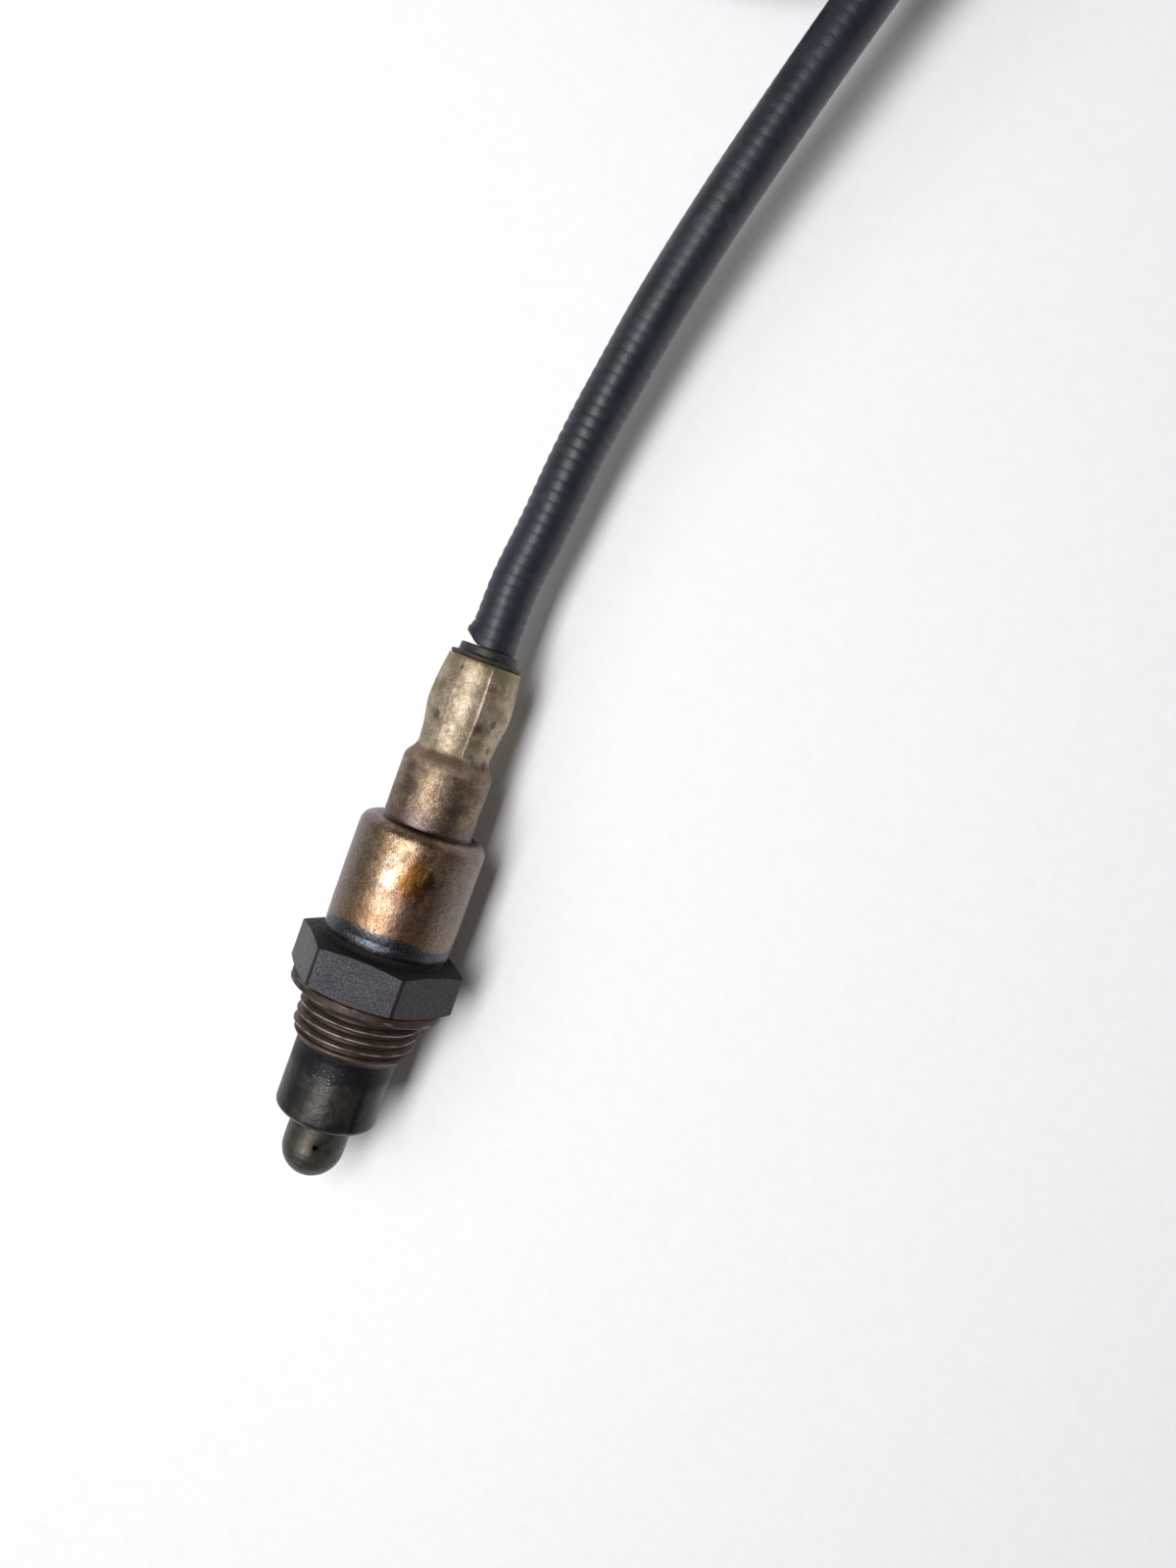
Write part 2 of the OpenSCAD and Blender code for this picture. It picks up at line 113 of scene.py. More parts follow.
# The lead's route where it isn't coiled, point by point
LEAD_ROUTE = [(0, 52.2, 0), (0.2, 62, 0), (1.2, 70, 0.2), (2.5, 82, 0.6), (4.5, 94, 1.3), (6.9, 106, 2.2),
              (10.1, 119, 3.3), (13.8, 132, 4.4), (17.7, 145, 5.5), (22, 159, 6.4), (26.1, 172, 7),
              (30.2, 184.6, 7.2)]
TAIL_ROUTE = [(30.2, 184.6, -7.2), (33, 193, -7.2), (35.4, 201, -7), (37, 209, -6), (37.5, 217, -4.6),
              (37.5, 226, -3.9)]


# ---- small helpers ----
def smooth(t):
    """0 below 0, 1 above 1 and a soft step between them."""
    t = min(1.0, max(0.0, t))
    return t * t * (3 - 2 * t)


def bell(x, width):
    return math.exp(-((x / width) ** 2))


def wobble(x, y, z, seed=0.0):
    """Smooth noise from -1 to 1, the same each run."""
    return noise.noise(Vector((x + 17.3 * seed, y - 5.1 * seed, z + 3.7)))


def place(s, r, phi):
    """The point in metres at a station, radius and angle."""
    return Vector((r * math.sin(phi), s, r * math.cos(phi))) * MM


def arc(s, r, radius, start, end, steps):
    """Outline points on an arc round (s, r): 0 degrees points away from the axis, 90 towards +s."""
    angles = [math.radians(start + (end - start) * i / steps) for i in range(steps + 1)]
    return [(s + radius * math.sin(a), r + radius * math.cos(a)) for a in angles]


def apart(phi, centre):
    """How far an angle is from another, in degrees, from -180 to 180."""
    return (math.degrees(phi) - centre + 180) % 360 - 180


# ---- the camera ----
def make_camera():
    """The view from 155 mm above the sensor's axis, turned 20 degrees so that the lead leans right."""
    lens = bpy.data.cameras.new("camera")
    lens.sensor_width = 36
    lens.lens = 25.16
    lens.clip_start = 0.01
    camera = bpy.data.objects.new("camera", lens)
    camera.location = Vector((30.26, 50.17, 155.46)) * MM
    camera.rotation_euler = [math.radians(a) for a in (-2.47, 5.02, 20.22)]
    bpy.context.scene.collection.objects.link(camera)
    bpy.context.scene.camera = camera


# ---- meshes ----
def solid(name, points, faces, sharp):
    """A closed piece from points in metres. Edges over sharp degrees stay sharp."""
    mesh = bpy.data.meshes.new(name)
    mesh.from_pydata(points, [], faces)
    return finished(name, mesh, sharp)


def finished(name, mesh, sharp):
    """Merges a mesh's doubles, turns its faces outwards, smooths it and gives it an object."""
    bm = bmesh.new()
    bm.from_mesh(mesh)
    bmesh.ops.remove_doubles(bm, verts=bm.verts, dist=MERGE)
    bmesh.ops.dissolve_degenerate(bm, dist=1e-7, edges=bm.edges)
    bmesh.ops.recalc_face_normals(bm, faces=bm.faces)
    bm.to_mesh(mesh)
    bm.free()
    mesh.shade_smooth()
    mesh.set_sharp_from_angle(angle=math.radians(sharp))
    piece = bpy.data.objects.new(name, mesh)
    bpy.context.scene.collection.objects.link(piece)
    return piece


def even_angles(count):
    return [math.radians(-180 + 360 * i / count) for i in range(count + 1)]


def lofted(name, rows, angles, sharp):
    """A closed skin over rows round the axis. Each row turns an angle into a station and a radius."""
    points = [place(*row(phi), phi) for row in rows for phi in angles]
    wide = len(angles)
    faces = []
    for a in range(len(rows)):
        b = (a + 1) % len(rows)
        faces += [(a * wide + j, a * wide + j + 1, b * wide + j + 1, b * wide + j) for j in range(wide - 1)]
    return solid(name, points, faces, sharp)


def ring(s, r):
    return lambda phi: (s, r)


def worn_rows(outline, change):
    """Rows of an outline's points. change(s, r, phi) gives a point's own radius."""
    return [lambda phi, s=s, r=r: (s, change(s, r, phi)) for s, r in outline]


def turned(name, outline, change, count, sharp):
    """A piece turned from a closed outline, with its radius changed point by point."""
    return lofted(name, worn_rows(outline, change), even_angles(count), sharp)


def with_modifiers(piece):
    """Bakes a piece's modifiers into its mesh."""
    bpy.context.view_layer.update()
    baked = piece.evaluated_get(bpy.context.evaluated_depsgraph_get())
    mesh = bpy.data.meshes.new_from_object(baked)
    piece.modifiers.clear()
    piece.data = mesh


def bore(name, start, end, radius):
    """A rod between two points in millimetres, to be cut out of a piece."""
    axis = Vector(end) - Vector(start)
    bm = bmesh.new()
    bmesh.ops.create_cone(bm, cap_ends=True, segments=32, radius1=radius * MM, radius2=radius * MM,
                          depth=axis.length * MM)
    mesh = bpy.data.meshes.new(name)
    bm.to_mesh(mesh)
    bm.free()
    rod = bpy.data.objects.new(name, mesh)
    bpy.context.scene.collection.objects.link(rod)
    turn = axis.to_track_quat("Z", "Y").to_matrix().to_4x4()
    turn.translation = (Vector(start) + Vector(end)) / 2 * MM
    mesh.transform(turn)
    return rod


def combined(piece, others, operation="DIFFERENCE", sharp=32):
    """Cuts others out of a piece, or adds them to it, and removes them."""
    for other in others:
        step = piece.modifiers.new("combine", "BOOLEAN")
        step.operation = operation
        step.solver = "EXACT"
        step.object = other
    with_modifiers(piece)
    for other in others:
        bpy.data.objects.remove(other)
    name, mesh = piece.name, piece.data
    bpy.data.objects.remove(piece)
    return finished(name, mesh, sharp)


def softened(node, name, edge, added=()):
    """A copy of a CAD node with its sharp edges rounded, which stands for it."""
    mesh = NODES[node].data.copy()
    bm = bmesh.new()
    bm.from_mesh(mesh)
    bmesh.ops.remove_doubles(bm, verts=bm.verts, dist=MERGE)
    bmesh.ops.dissolve_limit(bm, angle_limit=math.radians(1), verts=bm.verts, edges=bm.edges)
    bm.to_mesh(mesh)
    bm.free()
    mesh.materials.clear()
    piece = bpy.data.objects.new(name, mesh)
    bpy.context.scene.collection.objects.link(piece)
    if added:
        piece = combined(piece, added, "UNION")
    rounding = piece.modifiers.new("round", "BEVEL")
    rounding.limit_method = "ANGLE"
    rounding.angle_limit = math.radians(40)
    rounding.width = edge * MM
    rounding.segments = 2
    with_modifiers(piece)
    mesh = piece.data
    bpy.data.objects.remove(piece)
    return finished(name, mesh, 32)


def block(name, low, high, edge):
    """A box with rounded edges between two corners in millimetres."""
    low, high = Vector(low), Vector(high)
    bm = bmesh.new()
    bmesh.ops.create_cube(bm, size=1)
    for v in bm.verts:
        v.co = Vector([(low[i] + high[i]) / 2 + v.co[i] * (high[i] - low[i]) for i in range(3)]) * MM
    bmesh.ops.bevel(bm, geom=bm.edges[:], offset=edge * MM, segments=3, profile=0.5, affect="EDGES")
    mesh = bpy.data.meshes.new(name)
    bm.to_mesh(mesh)
    bm.free()
    return finished(name, mesh, 32)


def joined(name, pieces, sharp):
    """Several pieces as one."""
    bm = bmesh.new()
    for piece in pieces:
        bm.from_mesh(piece.data)
        bpy.data.objects.remove(piece)
    mesh = bpy.data.meshes.new(name)
    bm.to_mesh(mesh)
    bm.free()
    return finished(name, mesh, sharp)


def dressed(piece, materials, body="sensor", replaces=()):
    """Gives a piece its materials, its body and the CAD nodes that it stands for."""
    for material in materials if isinstance(materials, list) else [materials]:
        piece.data.materials.append(material)
    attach(piece, body)
    if replaces:
        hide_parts(*replaces)
    return piece


# ---- materials ----
class Finish:
    """A procedural material. Its nodes work in millimetres, and a value is a number or a socket."""

    def __init__(self, name, metallic=0.0, specular=0.5):
        self.material = bpy.data.materials.new(name)
        self.material.use_nodes = True
        self.tree = self.material.node_tree
        self.shader = self.tree.nodes["Principled BSDF"]
        self.shader.inputs["Metallic"].default_value = metallic
        self.shader.inputs["Specular IOR Level"].default_value = specular
        texture = self.node("ShaderNodeTexCoord")
        where = texture.outputs["Object"]
        self.facing = self.node("ShaderNodeSeparateXYZ", [texture.outputs["Normal"]]).outputs
        self.place = self.node("ShaderNodeVectorMath", [where, (1 / MM,) * 3],
                               operation="MULTIPLY").outputs[0]
        split = self.node("ShaderNodeSeparateXYZ", [self.place])
        self.x, self.s, self.z = split.outputs

    def node(self, kind, values=(), **settings):
        made = self.tree.nodes.new(kind)
        for key, value in settings.items():
            setattr(made, key, value)
        names = values.items() if isinstance(values, dict) else enumerate(values)
        for name, value in names:
            self.put(made.inputs[name], value)
        return made

    def put(self, socket, value):
        if isinstance(value, bpy.types.NodeSocket):
            self.tree.links.new(value, socket)
        elif hasattr(value, "__len__") and socket.type == "RGBA":
            socket.default_value = (*value, 1) if len(value) == 3 else value
        else:
            socket.default_value = value

    def math(self, operation, *values):
        return self.node("ShaderNodeMath", values, operation=operation).outputs[0]

    def plus(self, a, b):
        return self.math("ADD", a, b)

    def times(self, a, b):
        return self.math("MULTIPLY", a, b)

    def less(self, a):
        """One minus a."""
        return self.math("SUBTRACT", 1.0, a)

    def step(self, value, low, high, bottom=0.0, top=1.0):
        """A soft step of a value from low to high. A high below low steps down."""
        if low > high:
            low, high, bottom, top = high, low, top, bottom
        made = self.node("ShaderNodeMapRange", [value, low, high, bottom, top])
        made.interpolation_type = "SMOOTHSTEP"
        return made.outputs[0]

    def between(self, value, start, end, soft=0.3):
        """1 between two values, falling off over soft on both sides."""
        return self.times(self.step(value, start - soft, start + soft),
                          self.step(value, end + soft, end - soft))

    def noise(self, size, detail=3.0, rough=0.55, stretch=(1, 1, 1), shift=0.0):
        """Noise from 0 to 1 with features of about size millimetres, longer by stretch along each axis."""
        at = self.node("ShaderNodeVectorMath", [self.place, [1 / (size * k) for k in stretch]],
                       operation="MULTIPLY").outputs[0]
        if shift:
            at = self.node("ShaderNodeVectorMath", [at, (shift,) * 3], operation="ADD").outputs[0]
        return self.node("ShaderNodeTexNoise", {"Vector": at, "Scale": 1.0, "Detail": detail,
                                                "Roughness": rough}).outputs["Fac"]

    def centred(self, value, span):
        """A value around 0.5 as one around 0, times span."""
        return self.times(self.math("SUBTRACT", value, 0.5), span)

    def radius(self):
        """The distance from the sensor's axis."""
        return self.math("SQRT", self.plus(self.times(self.x, self.x), self.times(self.z, self.z)))

    def mottle(self, size, low, high, **more):
        """Noise as soft patches from 0 to 1."""
        return self.step(self.noise(size, **more), low, high)

    def mix(self, share, a, b):
        made = self.node("ShaderNodeMix", data_type="RGBA")
        self.put(made.inputs["Factor"], share)
        self.put(made.inputs[6], a)
        self.put(made.inputs[7], b)
        return made.outputs[2]

    def over(self, base, share, strength, colour):
        """A colour with another over it where share is 1."""
        return self.mix(self.times(share, strength), base, colour)

    def blot(self, s, r, phi, long, wide):
        """1 inside a blot on the surface, of half sizes long and wide, with a ragged and soft edge."""
        ragged, soft = 0.9, 0.45
        centre = place(s, r, math.radians(phi)) / MM
        off = self.node("ShaderNodeVectorMath", [self.place, centre], operation="SUBTRACT").outputs[0]
        off = self.node("ShaderNodeVectorMath", [off, (1 / wide, 1 / long, 1 / wide)],
                        operation="MULTIPLY").outputs[0]
        far = self.node("ShaderNodeVectorMath", [off], operation="LENGTH").outputs["Value"]
        edge = self.noise(min(long, wide) * 0.7, detail=5, rough=0.7, shift=s)
        far = self.plus(far, self.centred(edge, 2 * ragged))
        return self.step(far, 1 + soft, 1 - soft)

    def colour(self, value):
        self.put(self.shader.inputs["Base Color"], value)

    def rough(self, value):
        self.put(self.shader.inputs["Roughness"], value)

    def bumps(self, *layers):
        """Adds bumps, each a height from 0 to 1 and its depth in millimetres."""
        normal = None
        for height, depth in layers:
            made = self.node("ShaderNodeBump", {"Height": height, "Distance": depth * MM, "Strength": 1.0})
            if normal is not None:
                self.put(made.inputs["Normal"], normal)
            normal = made.outputs[0]
        self.put(self.shader.inputs["Normal"], normal)


def tinted(finish, dark, light, size, fine, fine_share=0.5):
    """A colour that wanders between two, in patches and in fine grain."""
    wide = finish.mottle(size, 0.35, 0.65)
    grain = finish.noise(fine, detail=2)
    share = finish.plus(finish.times(wide, 1 - fine_share), finish.times(grain, fine_share))
    return finish.mix(share, dark, light)


def hex_steel():
    """Sandy grey faces, with painted light on the left faces and painted shade on the right ones, and dark
    on the end that faces the shell.
    """
    f = Finish("hex_steel", metallic=0.5)
    sand = f.noise(0.29, detail=4, rough=0.8)
    base = tinted(f, (0.037, 0.034, 0.042), (0.07, 0.066, 0.078), 2.4, 0.6)
    # Painted light: the left faces lighter. Painted shade: the right faces darker. Both follow how the
    # lamps fall on them.
    base = f.mix(f.step(f.x, -3.0, -10.0, 0.0, 0.6), base, (0.12, 0.115, 0.12))
    base = f.mix(f.step(f.x, 6.0, 8.5, 0.0, 0.6), base, (0.042, 0.04, 0.042))
    base = f.over(base, f.step(sand, 0.54, 0.44), 0.9, (0.008, 0.007, 0.01))
    base = f.over(base, f.step(sand, 0.6, 0.72), 0.5, (0.3, 0.287, 0.31))
    end = f.math("MAXIMUM", f.step(f.facing["Y"], 0.3, 0.6), f.step(f.s, HEX_LEN - 0.05, HEX_LEN))
    bare = f.times(f.step(f.x, -7.5, -10.0), f.mottle(0.6, 0.42, 0.6))
    base = f.mix(f.times(end, f.less(f.times(bare, 0.8))), base, (0.012, 0.009, 0.009))
    seat = f.step(f.s, 0.6, 0.0)
    base = f.mix(f.times(seat, f.mottle(0.8, 0.35, 0.6)), base, (0.05, 0.03, 0.022))
    f.colour(base)
    f.rough(f.plus(0.42, f.plus(f.times(sand, 0.2), f.times(end, 0.25))))
    f.bumps((sand, 0.07), (f.noise(1.4, detail=3), 0.06))
    return f.material


def hex_edge():
    """The dark strips down the hexagon's corners."""
    f = Finish("hex_edge", metallic=0.5)
    f.colour(tinted(f, (0.014, 0.01, 0.013), (0.035, 0.024, 0.028), 1.5, 0.25))
    f.rough(0.5)
    f.bumps((f.noise(0.2, detail=3), 0.03))
    return f.material


def thread_steel():
    """Rusty brown thread, olive in places, dark in its roots, and worn bare on its crests with a painted
    highlight along them.
    """
    f = Finish("thread_steel", metallic=0.6)
    radius = f.radius()
    base = tinted(f, (0.05, 0.032, 0.026), (0.155, 0.1, 0.078), 2.2, 0.3)
    olive = f.times(f.mottle(1.9, 0.5, 0.62, shift=4.0), f.step(f.x, 0.0, -5.0))
    base = f.mix(olive, base, (0.12, 0.098, 0.05))
    # Crests: bare worn metal, with a painted highlight along them.
    crest = f.times(f.step(radius, THREAD_R - 0.16, THREAD_R - 0.02),
                    f.mottle(0.8, 0.42, 0.6, stretch=(3, 1, 3)))
    base = f.over(base, crest, 0.75, (0.36, 0.31, 0.28))
    root = f.step(radius, ROOT_R + 0.5, ROOT_R)
    base = f.over(base, root, 0.75, (0.018, 0.012, 0.011))
    f.colour(base)
    f.rough(f.plus(0.36, f.times(f.noise(0.5), 0.25)))
    f.bumps((f.noise(0.35, detail=4), 0.09), (f.noise(0.12, detail=2, stretch=(9, 1, 9)), 0.03))
    return f.material


def gasket_steel():
    """Crushed ring, dark with rust and with a few bare streaks."""
    f = Finish("gasket_steel", metallic=0.55)
    base = tinted(f, (0.018, 0.012, 0.011), (0.07, 0.044, 0.033), 1.6, 0.25)
    bare = f.mottle(0.7, 0.58, 0.68, stretch=(4, 0.7, 4), shift=2.0)
    base = f.over(base, bare, 0.6, (0.26, 0.21, 0.18))
    f.colour(base)
    f.rough(f.plus(0.4, f.times(f.noise(0.6), 0.25)))
    f.bumps((f.noise(0.25, detail=4), 0.05))
    return f.material


def tube_steel():
    """Brushed dark olive-grey tube, sooty blue-black where it meets the thread, with painted shade on its
    flanks and along a dent.
    """
    f = Finish("tube_steel", metallic=0.75)
    brush = f.noise(0.2, detail=3, rough=0.65, stretch=(22, 1, 22))
    patch = f.mottle(2.8, 0.36, 0.62, detail=5)
    base = f.mix(patch, (0.03, 0.029, 0.027), (0.07, 0.065, 0.057))
    base = f.over(base, f.step(brush, 0.42, 0.6), 0.6, (0.026, 0.025, 0.025))
    warm = f.mottle(2.2, 0.5, 0.66, stretch=(1, 2.4, 1), shift=7.0)
    base = f.over(base, warm, 0.5, (0.105, 0.078, 0.066))
    # Painted shade: the flanks darker, as they turn away from the lamps.
    flank_shade = f.math("MAXIMUM", f.step(f.x, -2.6, -4.6), f.step(f.x, 3.2, 5.2))
    base = f.over(base, flank_shade, 0.8, (0.016, 0.0155, 0.017))
    edge = f.plus(f.s, f.centred(f.noise(1.3, detail=5, rough=0.7), 3.0))
    soot = f.step(edge, -13.1, -11.6)
    base = f.over(base, soot, 0.9, (0.007, 0.008, 0.012))
    front = f.blot(-18.9, TUBE_R, 30, 0.9, 2.2)
    base = f.over(base, front, 0.7, (0.018, 0.018, 0.022))
    # Painted shade: a dark streak along the dent at 43 degrees.
    groove_shade = f.blot(-15.4, TUBE_R, 45, 4.6, 0.55)
    base = f.over(base, groove_shade, 0.7, (0.006, 0.005, 0.007))
    specks = f.step(f.noise(0.26, detail=2, shift=3.0), 0.66, 0.72)
    near = f.math("MAXIMUM", f.blot(-11.7, TUBE_R, 4, 1.5, 2.6), f.blot(-12.9, TUBE_R, -16, 0.7, 0.8))
    base = f.mix(f.times(specks, near), base, (0.7, 0.69, 0.67))
    f.colour(base)
    f.rough(f.plus(f.times(brush, 0.25), f.plus(0.27, f.times(soot, 0.12))))
    f.bumps((brush, 0.02), (f.noise(0.9, detail=5), 0.08), (f.noise(0.14, detail=2), 0.015))
    return f.material


def nose_steel():
    """Dark olive-bronze nose with a painted highlight down its top, and beside it a warm bronze streak that
    is partly painted sheen.
    """
    f = Finish("nose_steel", metallic=0.75)
    base = tinted(f, (0.034, 0.034, 0.029), (0.082, 0.078, 0.064), 1.8, 0.4, 0.3)
    # Painted highlight: a light streak where the lamp's highlight falls.
    pale_highlight = f.blot(-25.0, NOSE_R, -9, 3.0, 0.8)
    base = f.over(base, pale_highlight, 0.3, (0.19, 0.165, 0.135))
    # Warm bronze tint, partly painted sheen.
    warm = f.blot(-23.2, NOSE_R, 5, 1.9, 0.5)
    base = f.over(base, warm, 0.3, (0.11, 0.07, 0.042))
    green = f.mottle(1.5, 0.5, 0.65, shift=5.0)
    base = f.over(base, green, 0.3, (0.05, 0.056, 0.034))
    smudge = f.blot(-23.6, NOSE_R, 18, 0.9, 0.8)
    base = f.over(base, smudge, 0.6, (0.018, 0.018, 0.016))
    f.colour(base)
    f.rough(f.plus(0.32, f.times(f.noise(0.8, detail=4), 0.2)))
    f.bumps((f.noise(0.25, detail=3), 0.025), (f.noise(1.5), 0.06))
    return f.material


def shell_steel():
    """Heat-tinted steel: bronze barrel, dull middle step, champagne crimp, blue-black weld at the front,
    with painted highlight, shade and reflection.
    """
    f = Finish("shell_steel", metallic=1.0)
    fine = f.noise(0.19, detail=4, rough=0.75)
    cloud = f.noise(2.2, detail=5, rough=0.65)
    ragged = f.centred(cloud, 2.5)

    barrel = f.mix(f.step(cloud, 0.38, 0.62), (0.25, 0.16, 0.095), (0.46, 0.32, 0.19))
    # Painted reflection: the barrel's flanks greyer, as they mirror the white floor.
    sides = f.step(f.plus(f.math("ABSOLUTE", f.math("SUBTRACT", f.x, 0.6)), f.times(cloud, 3.0)), 5.0, 9.0)
    barrel = f.over(barrel, sides, 0.8, (0.2, 0.163, 0.145))
    tint = f.times(f.between(f.plus(f.s, ragged), 10.5, 13.0, 0.8), f.less(f.times(sides, 0.8)))
    barrel = f.over(barrel, tint, 0.55, (0.42, 0.22, 0.115))
    middle = f.mix(f.step(cloud, 0.4, 0.6), (0.17, 0.117, 0.082), (0.32, 0.232, 0.158))
    middle = f.over(middle, f.step(f.plus(f.s, ragged), 28.6, 26.3), 0.7, (0.17, 0.13, 0.135))
    crimp = f.mix(f.step(cloud, 0.36, 0.64), (0.32, 0.255, 0.175), (0.56, 0.465, 0.345))
    crimp = f.over(crimp, f.step(f.plus(f.s, ragged), 47.8, 49.5), 0.6, (0.33, 0.26, 0.13))
    base = f.mix(f.step(f.s, SHOULDER - 0.5, SHOULDER + 0.3), barrel, middle)
    base = f.mix(f.step(f.plus(f.s, f.times(ragged, 0.4)), 35.9, 36.7), base, crimp)

    pits = f.times(f.step(fine, 0.54, 0.44), f.step(f.s, 28.0, 40.0, 0.72, 0.4))
    base = f.mix(pits, base, (0.055, 0.04, 0.038))
    grains = f.step(fine, 0.62, 0.74)
    base = f.over(base, grains, 0.45, (0.75, 0.65, 0.5))

    # Painted highlight: a whiter patch in the core of the lamp's highlight on the barrel.
    painted_hotspot = f.times(f.blot(18.6, CAN_R, -7, 2.8, 1.1), f.step(cloud, 0.36, 0.56))
    base = f.over(base, painted_hotspot, 0.35, (0.8, 0.72, 0.62))
    # Stains, and the painted shade at the end of the list
    for s, phi, long, wide, strength, colour in BARREL_STAINS_AND_SHADE:
        base = f.over(base, f.blot(s, CAN_R, phi, long, wide), strength, colour)
    # Painted shade with a stain: a dark ring on the shoulder round the foot of the middle step.
    corner = f.between(f.s, SHOULDER - 0.6, SHOULDER + 0.4)
    shade_and_stain_ring = f.times(f.step(f.radius(), MID_R + 1.3, MID_R + 0.3), corner)
    base = f.over(base, shade_and_stain_ring, 0.85, (0.035, 0.02, 0.014))
    # Painted light: the shoulder at the rear of the middle step lighter, where it mirrors the dim sky.
    ledge_light = f.between(f.plus(f.s, f.times(ragged, 0.3)), 34.2, 35.7, 0.9)
    base = f.over(base, ledge_light, 0.35, (0.5, 0.4, 0.31))
    for s, r, phi, size in SHELL_SPOTS:
        base = f.over(base, f.blot(s, r, phi, size * 1.2, size * 0.9), 0.65, (0.05, 0.032, 0.028))

    front = f.plus(9.35, f.step(f.z, 4.0, 9.4, 0.0, 1.05))
    weld = f.step(f.math("SUBTRACT", f.plus(f.s, f.centred(fine, 1.6)), front), 0.35, -0.35)
    weld_colour = f.mix(f.step(fine, 0.45, 0.62), (0.032, 0.036, 0.045), (0.13, 0.142, 0.17))
    base = f.over(base, weld, 0.96, weld_colour)
    f.colour(base)
    dull = f.plus(f.step(f.s, SHOULDER, SHOULDER + 1, 0.0, 0.1), f.step(f.s, 35.5, 37, 0.0, 0.08))
    dull = f.plus(dull, f.times(f.between(f.s, 34.2, 36.6, 0.5), 0.3))
    f.rough(f.plus(f.plus(0.22, dull), f.times(f.noise(0.7, detail=4, shift=1.0), 0.26)))
    f.bumps((fine, 0.028), (cloud, 0.16), (f.noise(0.1, detail=2, stretch=(1, 10, 1)), 0.008))
    return f.material


def grommet_rubber():
    """Black rubber with brownish dust."""
    f = Finish("grommet_rubber", specular=0.35)
    dust = f.mottle(0.7, 0.5, 0.68, detail=4)
    base = tinted(f, (0.014, 0.012, 0.012), (0.036, 0.03, 0.027), 1.4, 0.2)
    f.colour(f.mix(f.times(dust, 0.4), base, (0.09, 0.07, 0.055)))
    f.rough(f.plus(0.45, f.times(dust, 0.25)))
    f.bumps((f.noise(0.3, detail=4), 0.05), (f.noise(0.1), 0.01))
    return f.material


def sleeve_rubber():
    """Blue-grey black sleeve with a satin sheen, rubbed paler here and there."""
    f = Finish("sleeve_rubber", specular=0.45)
    base = tinted(f, (0.006, 0.0085, 0.014), (0.0135, 0.018, 0.028), 6.0, 0.3, 0.35)
    rub = f.mottle(2.6, 0.56, 0.72, detail=5)
    f.colour(f.mix(f.times(rub, 0.3), base, (0.05, 0.052, 0.058)))
    f.rough(f.plus(0.33, f.times(f.noise(1.3, detail=4), 0.2)))
    f.bumps((f.noise(0.35, detail=4), 0.03), (f.noise(0.09), 0.006))
    return f.material


def moulded(name, dark, light, rough):
    """Moulded plastic or rubber with a fine grain."""
    f = Finish(name, specular=0.45)
    f.colour(tinted(f, dark, light, 4.0, 0.4))
    f.rough(f.plus(rough, f.times(f.noise(1.2, detail=3), 0.12)))
    f.bumps((f.noise(0.12, detail=2), 0.008), (f.noise(3.0), 0.03))
    return f.material


def fired(name, dark, light):
    """Matt ceramic or pressed powder with pores."""
    f = Finish(name, specular=0.3)
    pores = f.mottle(0.3, 0.62, 0.7, detail=2)
    f.colour(f.mix(f.times(pores, 0.4), tinted(f, dark, light, 2.0, 0.2), tuple(c * 0.6 for c in dark)))
    f.rough(f.plus(0.68, f.times(f.noise(0.5), 0.2)))
    f.bumps((f.noise(0.18, detail=4), 0.012))
    return f.material


def drawn(name, dark, light):
    """Drawn or rolled metal with fine lines along Y."""
    f = Finish(name, metallic=1.0)
    lines = f.noise(0.1, detail=3, stretch=(1, 14, 1))
    f.colour(f.mix(f.step(lines, 0.35, 0.65), dark, light))
    f.rough(f.plus(0.28, f.times(f.noise(0.6, detail=3), 0.15)))
    f.bumps((lines, 0.004))
    return f.material


def tie_nylon():
    """Black nylon strap with fine cross teeth."""
    tooth_pitch = 0.9
    f = Finish("tie_nylon", specular=0.45)
    f.colour(tinted(f, (0.012, 0.012, 0.013), (0.03, 0.03, 0.032), 2.0, 0.2))
    teeth = f.step(f.math("SINE", f.times(f.z, TURN / tooth_pitch)), -0.4, 0.4)
    f.rough(f.plus(0.36, f.times(f.noise(0.8), 0.15)))
    f.bumps((teeth, 0.05), (f.noise(0.15), 0.005))
    return f.material


# ---- the lead ----
def coil_height(angle):
    """Height of the lead over the sensor's axis at an angle along its two turns, in degrees."""
    drops = [smooth((angle - DROP_AT - turn) / DROP) for turn in (0, 360)]
    return LAYER * (1 - drops[0] - drops[1])


def lead_points():
    """The lead's route: out over the coil, two turns down, and on to the connector."""
    turns = []
    for angle in range(COIL_START, COIL_END + 1, COIL_STEP):
        a = math.radians(angle)
        turns.append((COIL_AT[0] + COIL_R * math.cos(a), COIL_AT[1] + COIL_R * math.sin(a),
                      coil_height(angle)))
    return [Vector(p) for p in LEAD_ROUTE + turns + TAIL_ROUTE]


def smooth_line(points):
    """A smooth line through the points, and how far along it each of its own points lies."""
    fine = 40
    ends = [points[0] * 2 - points[1], *points, points[-1] * 2 - points[-2]]
    line = []
    for p0, p1, p2, p3 in zip(ends, ends[1:], ends[2:], ends[3:]):
        for i in range(fine):
            t = i / fine
            line.append(0.5 * (2 * p1 + (p2 - p0) * t + (2 * p0 - 5 * p1 + 4 * p2 - p3) * t * t
                               + (3 * p1 - p0 - 3 * p2 + p3) * t * t * t))
    line.append(points[-1])
    far = [0.0]
    for a, b in zip(line, line[1:]):
        far.append(far[-1] + (b - a).length)
    return line, far


